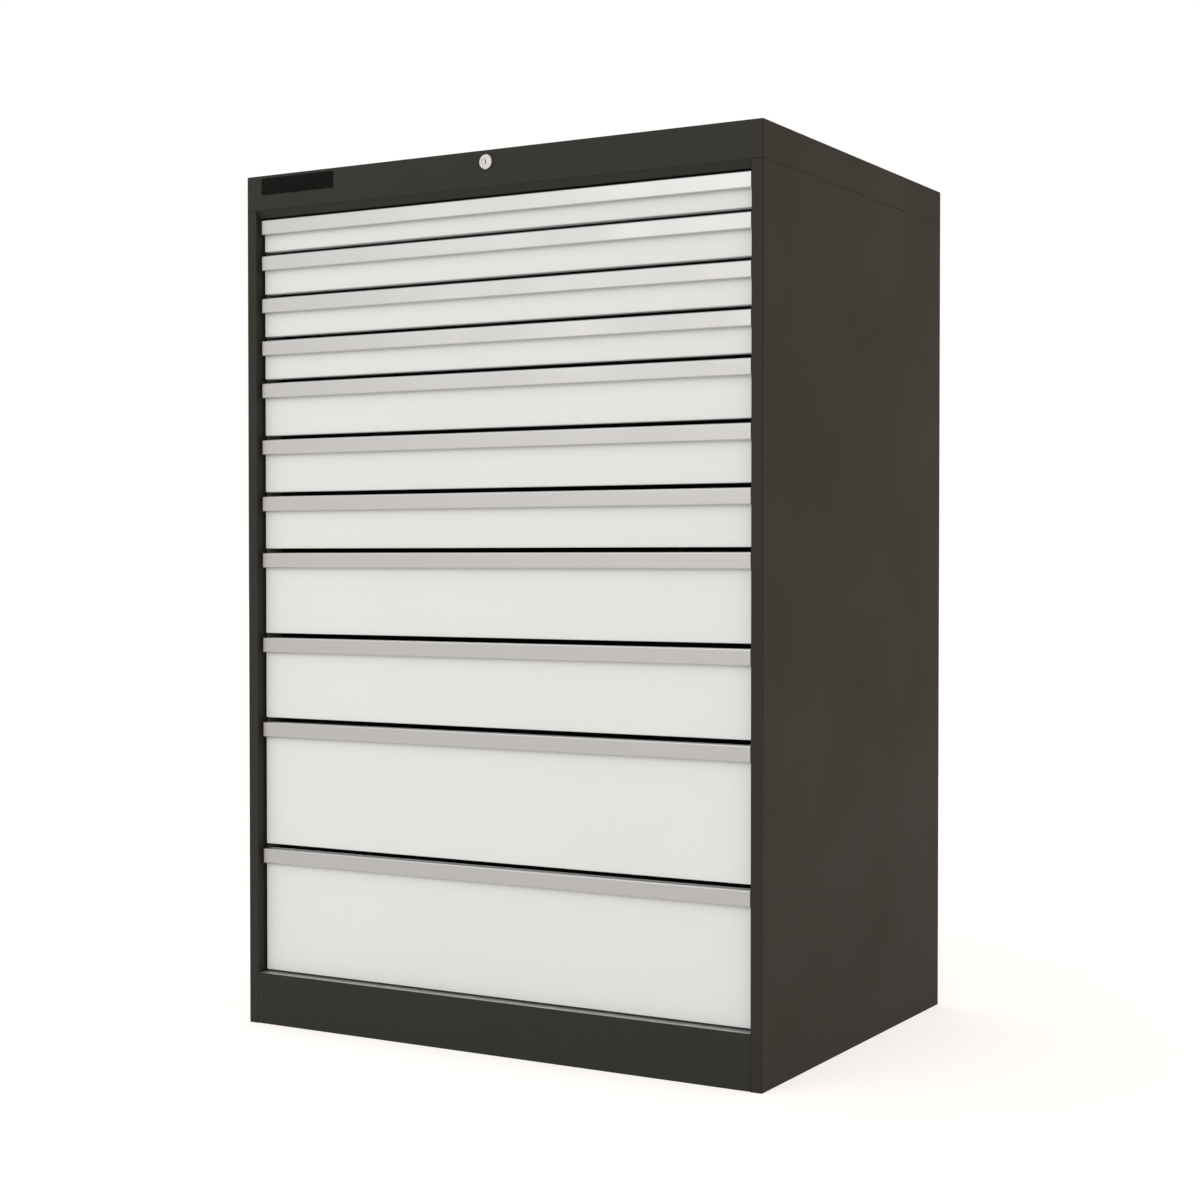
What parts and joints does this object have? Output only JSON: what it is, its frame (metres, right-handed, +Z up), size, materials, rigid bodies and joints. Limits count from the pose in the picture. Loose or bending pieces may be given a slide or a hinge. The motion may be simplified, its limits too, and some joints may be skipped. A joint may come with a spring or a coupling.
{
  "type": "drawer cabinet",
  "caption": "Tall drawer cabinet of folded sheet steel: shallow drawers over deep ones on full-extension roller runners, full-width grip rails and a central lock.",
  "frame": {"origin": "on the floor under the middle of the housing's width and depth", "axes": "+Z up, +X to the right of somebody who faces the drawers, -Y the way the drawers open"},
  "size_m": [1.01, 0.7585, 1.5],
  "materials": {
    "graphite_powder_coat": "fine-textured satin powder coat",
    "off_white_powder_coat": "smooth satin powder coat",
    "anodised_aluminium": "satin natural anodised extrusion",
    "zinc_coated_steel": "bright zinc coat on sheet steel",
    "grey_powder_coat": "smooth grey powder coat",
    "nickel_plated_brass": "nickel plated, lightly brushed",
    "black_nylon": "moulded nylon"
  },
  "bodies": {
    "cabinet": {"right_side_panel": "graphite_powder_coat", "left_side_panel": "graphite_powder_coat", "back_panel": "graphite_powder_coat", "top_cap": "graphite_powder_coat", "top_front_rail": "graphite_powder_coat", "base_plinth": "graphite_powder_coat", "floor_pan": "zinc_coated_steel", "front_uprights": "zinc_coated_steel", "rear_uprights": "zinc_coated_steel", "right_cabinet_rails": "zinc_coated_steel", "left_cabinet_rails": "zinc_coated_steel", "lock_body": "nickel_plated_brass", "lock_guides": "black_nylon"},
    "drawer_01": {"drawer_01_tray": "grey_powder_coat", "drawer_01_front": "off_white_powder_coat", "drawer_01_grip": "anodised_aluminium"},
    "carriage_01": {"drawer_01_carriage": "zinc_coated_steel"},
    "drawer_02": {"drawer_02_tray": "grey_powder_coat", "drawer_02_front": "off_white_powder_coat", "drawer_02_grip": "anodised_aluminium"},
    "carriage_02": {"drawer_02_carriage": "zinc_coated_steel"},
    "drawer_03": {"drawer_03_tray": "grey_powder_coat", "drawer_03_front": "off_white_powder_coat", "drawer_03_grip": "anodised_aluminium"},
    "carriage_03": {"drawer_03_carriage": "zinc_coated_steel"},
    "drawer_04": {"drawer_04_tray": "grey_powder_coat", "drawer_04_front": "off_white_powder_coat", "drawer_04_grip": "anodised_aluminium"},
    "carriage_04": {"drawer_04_carriage": "zinc_coated_steel"},
    "drawer_05": {"drawer_05_tray": "grey_powder_coat", "drawer_05_front": "off_white_powder_coat", "drawer_05_grip": "anodised_aluminium"},
    "carriage_05": {"drawer_05_carriage": "zinc_coated_steel"},
    "drawer_06": {"drawer_06_tray": "grey_powder_coat", "drawer_06_front": "off_white_powder_coat", "drawer_06_grip": "anodised_aluminium"},
    "carriage_06": {"drawer_06_carriage": "zinc_coated_steel"},
    "drawer_07": {"drawer_07_tray": "grey_powder_coat", "drawer_07_front": "off_white_powder_coat", "drawer_07_grip": "anodised_aluminium"},
    "carriage_07": {"drawer_07_carriage": "zinc_coated_steel"},
    "drawer_08": {"drawer_08_tray": "grey_powder_coat", "drawer_08_front": "off_white_powder_coat", "drawer_08_grip": "anodised_aluminium"},
    "carriage_08": {"drawer_08_carriage": "zinc_coated_steel"},
    "drawer_09": {"drawer_09_tray": "grey_powder_coat", "drawer_09_front": "off_white_powder_coat", "drawer_09_grip": "anodised_aluminium"},
    "carriage_09": {"drawer_09_carriage": "zinc_coated_steel"},
    "drawer_10": {"drawer_10_tray": "grey_powder_coat", "drawer_10_front": "off_white_powder_coat", "drawer_10_grip": "anodised_aluminium"},
    "carriage_10": {"drawer_10_carriage": "zinc_coated_steel"},
    "drawer_11": {"drawer_11_tray": "grey_powder_coat", "drawer_11_front": "off_white_powder_coat", "drawer_11_grip": "anodised_aluminium"},
    "carriage_11": {"drawer_11_carriage": "zinc_coated_steel"},
    "lock_drive": {"lock_plug": "nickel_plated_brass", "lock_shaft": "zinc_coated_steel"},
    "lock_bar": {"lock_bar": "zinc_coated_steel"}
  },
  "joints": [
    {"name": "drawer_01_slide", "type": "slide", "parent": "cabinet", "child": "drawer_01", "axis": [0, -1, 0], "range_m": [0, 0.64]},
    {"name": "carriage_01_slide", "type": "slide", "parent": "cabinet", "child": "carriage_01", "axis": [0, -1, 0], "range_m": [0, 0.32]},
    {"name": "drawer_02_slide", "type": "slide", "parent": "cabinet", "child": "drawer_02", "axis": [0, -1, 0], "range_m": [0, 0.64]},
    {"name": "carriage_02_slide", "type": "slide", "parent": "cabinet", "child": "carriage_02", "axis": [0, -1, 0], "range_m": [0, 0.32]},
    {"name": "drawer_03_slide", "type": "slide", "parent": "cabinet", "child": "drawer_03", "axis": [0, -1, 0], "range_m": [0, 0.64]},
    {"name": "carriage_03_slide", "type": "slide", "parent": "cabinet", "child": "carriage_03", "axis": [0, -1, 0], "range_m": [0, 0.32]},
    {"name": "drawer_04_slide", "type": "slide", "parent": "cabinet", "child": "drawer_04", "axis": [0, -1, 0], "range_m": [0, 0.64]},
    {"name": "carriage_04_slide", "type": "slide", "parent": "cabinet", "child": "carriage_04", "axis": [0, -1, 0], "range_m": [0, 0.32]},
    {"name": "drawer_05_slide", "type": "slide", "parent": "cabinet", "child": "drawer_05", "axis": [0, -1, 0], "range_m": [0, 0.64]},
    {"name": "carriage_05_slide", "type": "slide", "parent": "cabinet", "child": "carriage_05", "axis": [0, -1, 0], "range_m": [0, 0.32]},
    {"name": "drawer_06_slide", "type": "slide", "parent": "cabinet", "child": "drawer_06", "axis": [0, -1, 0], "range_m": [0, 0.64]},
    {"name": "carriage_06_slide", "type": "slide", "parent": "cabinet", "child": "carriage_06", "axis": [0, -1, 0], "range_m": [0, 0.32]},
    {"name": "drawer_07_slide", "type": "slide", "parent": "cabinet", "child": "drawer_07", "axis": [0, -1, 0], "range_m": [0, 0.64]},
    {"name": "carriage_07_slide", "type": "slide", "parent": "cabinet", "child": "carriage_07", "axis": [0, -1, 0], "range_m": [0, 0.32]},
    {"name": "drawer_08_slide", "type": "slide", "parent": "cabinet", "child": "drawer_08", "axis": [0, -1, 0], "range_m": [0, 0.64]},
    {"name": "carriage_08_slide", "type": "slide", "parent": "cabinet", "child": "carriage_08", "axis": [0, -1, 0], "range_m": [0, 0.32]},
    {"name": "drawer_09_slide", "type": "slide", "parent": "cabinet", "child": "drawer_09", "axis": [0, -1, 0], "range_m": [0, 0.64]},
    {"name": "carriage_09_slide", "type": "slide", "parent": "cabinet", "child": "carriage_09", "axis": [0, -1, 0], "range_m": [0, 0.32]},
    {"name": "drawer_10_slide", "type": "slide", "parent": "cabinet", "child": "drawer_10", "axis": [0, -1, 0], "range_m": [0, 0.64]},
    {"name": "carriage_10_slide", "type": "slide", "parent": "cabinet", "child": "carriage_10", "axis": [0, -1, 0], "range_m": [0, 0.32]},
    {"name": "drawer_11_slide", "type": "slide", "parent": "cabinet", "child": "drawer_11", "axis": [0, -1, 0], "range_m": [0, 0.64]},
    {"name": "carriage_11_slide", "type": "slide", "parent": "cabinet", "child": "carriage_11", "axis": [0, -1, 0], "range_m": [0, 0.32]},
    {"name": "lock_turn", "type": "hinge", "parent": "cabinet", "child": "lock_drive", "pos_m": [0, -0.3775, 1.48], "axis": [0, 1, 0], "range_deg": [0, 90]},
    {"name": "lock_lift", "type": "slide", "parent": "cabinet", "child": "lock_bar", "axis": [0, 0, 1], "range_m": [0, 0.01414]}
  ],
  "couplings": [
    {"joint": "carriage_01_slide", "follows": "drawer_01_slide", "ratio": 0.5},
    {"joint": "carriage_02_slide", "follows": "drawer_02_slide", "ratio": 0.5},
    {"joint": "carriage_03_slide", "follows": "drawer_03_slide", "ratio": 0.5},
    {"joint": "carriage_04_slide", "follows": "drawer_04_slide", "ratio": 0.5},
    {"joint": "carriage_05_slide", "follows": "drawer_05_slide", "ratio": 0.5},
    {"joint": "carriage_06_slide", "follows": "drawer_06_slide", "ratio": 0.5},
    {"joint": "carriage_07_slide", "follows": "drawer_07_slide", "ratio": 0.5},
    {"joint": "carriage_08_slide", "follows": "drawer_08_slide", "ratio": 0.5},
    {"joint": "carriage_09_slide", "follows": "drawer_09_slide", "ratio": 0.5},
    {"joint": "carriage_10_slide", "follows": "drawer_10_slide", "ratio": 0.5},
    {"joint": "carriage_11_slide", "follows": "drawer_11_slide", "ratio": 0.5},
    {"joint": "lock_turn", "follows": "lock_lift", "rad_per_m": 111.07}
  ]
}
